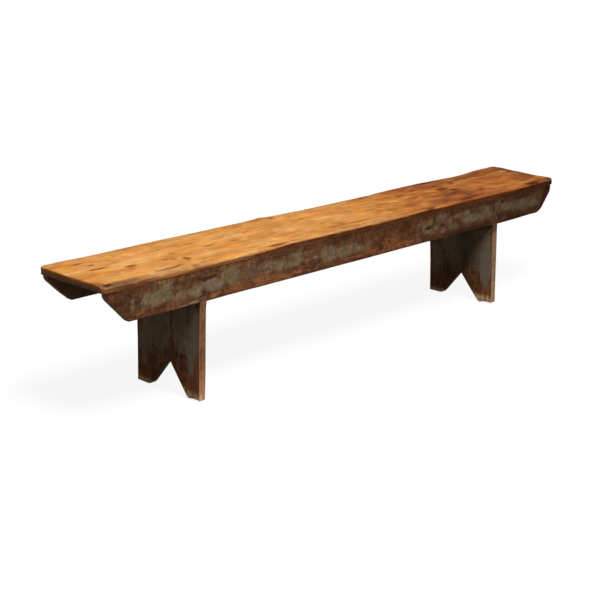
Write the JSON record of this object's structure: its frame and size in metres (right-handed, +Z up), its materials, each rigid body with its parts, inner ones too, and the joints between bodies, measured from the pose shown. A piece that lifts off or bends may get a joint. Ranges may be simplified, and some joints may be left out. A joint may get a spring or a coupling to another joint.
{
  "type": "monks bench",
  "caption": "Long plank bench: a narrow seat board nailed over two clipped aprons and two upright board legs with V-cut feet.",
  "frame": {"origin": "on the floor under the middle of the seat", "axes": "+X along the length of the seat, +Y towards the back apron, +Z up"},
  "size_m": [2.25, 0.311, 0.45],
  "materials": {
    "scrubbed_pine": "scrubbed and waxed, worn satin",
    "painted_apron": "worn grey-green paint over dark red-brown wood",
    "painted_leg": "worn grey-green paint over dark red-brown wood, bare at the feet",
    "rusted_iron": "dull, rusted dark brown"
  },
  "bodies": {
    "root": {"seat_board": "scrubbed_pine", "front_apron": "painted_apron", "back_apron": "painted_apron", "left_leg": "painted_leg", "right_leg": "painted_leg", "front_edge_nail_1": "rusted_iron", "front_edge_nail_2": "rusted_iron", "front_edge_nail_3": "rusted_iron", "front_edge_nail_4": "rusted_iron", "front_edge_nail_5": "rusted_iron", "front_edge_nail_6": "rusted_iron", "front_edge_nail_7": "rusted_iron", "back_edge_nail_1": "rusted_iron", "back_edge_nail_2": "rusted_iron", "back_edge_nail_3": "rusted_iron", "back_edge_nail_4": "rusted_iron", "back_edge_nail_5": "rusted_iron", "back_edge_nail_6": "rusted_iron", "back_edge_nail_7": "rusted_iron", "left_leg_nail_1": "rusted_iron", "left_leg_nail_2": "rusted_iron", "left_leg_nail_3": "rusted_iron", "right_leg_nail_1": "rusted_iron", "right_leg_nail_2": "rusted_iron", "right_leg_nail_3": "rusted_iron", "left_front_lap_nail_1": "rusted_iron", "left_front_lap_nail_2": "rusted_iron", "left_back_lap_nail_1": "rusted_iron", "left_back_lap_nail_2": "rusted_iron", "right_front_lap_nail_1": "rusted_iron", "right_front_lap_nail_2": "rusted_iron", "right_back_lap_nail_1": "rusted_iron", "right_back_lap_nail_2": "rusted_iron"}
  },
  "joints": []
}
